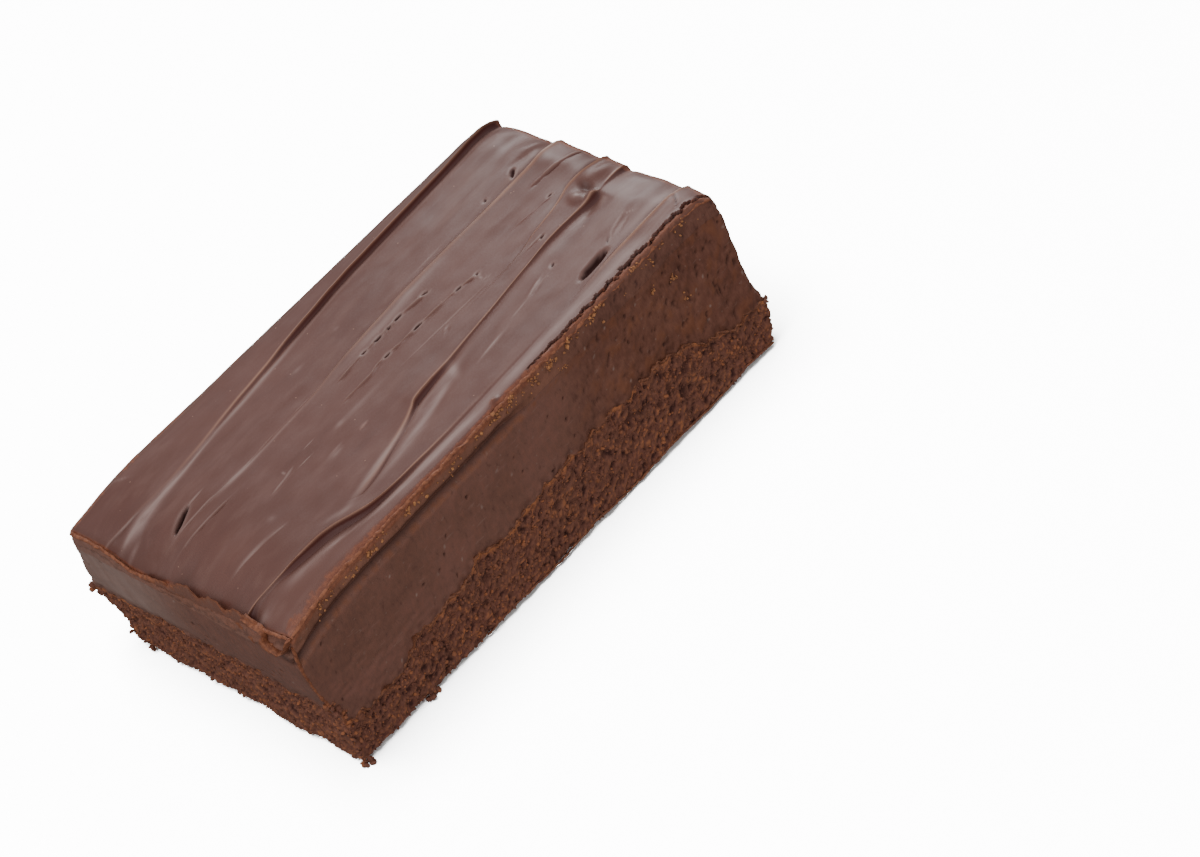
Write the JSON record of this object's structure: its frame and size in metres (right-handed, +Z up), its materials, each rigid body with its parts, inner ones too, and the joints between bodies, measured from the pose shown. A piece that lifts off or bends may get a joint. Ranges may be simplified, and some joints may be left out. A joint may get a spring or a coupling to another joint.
{
  "type": "chocolate fudge bar",
  "caption": "Rectangular bar of chocolate fudge with a crumb base, a smooth fudge layer and a spread icing with knife folds.",
  "frame": {"origin": "on the surface that the bar lies on, under the middle of the bar", "axes": "+X along the bar to its far end, +Y to its left side, +Z up through the icing"},
  "size_m": [0.0969, 0.0578, 0.0331],
  "materials": {
    "crumb_base": "dark brown baked chocolate crumb, matt and granular",
    "fudge_layer": "dense dark brown fudge, satin, cut with a knife",
    "icing": "spread chocolate icing, satin mauve-brown with folds and drag marks"
  },
  "bodies": {
    "root": {"crumb_base": "crumb_base", "fudge_layer": "fudge_layer", "icing": "icing"}
  },
  "joints": []
}
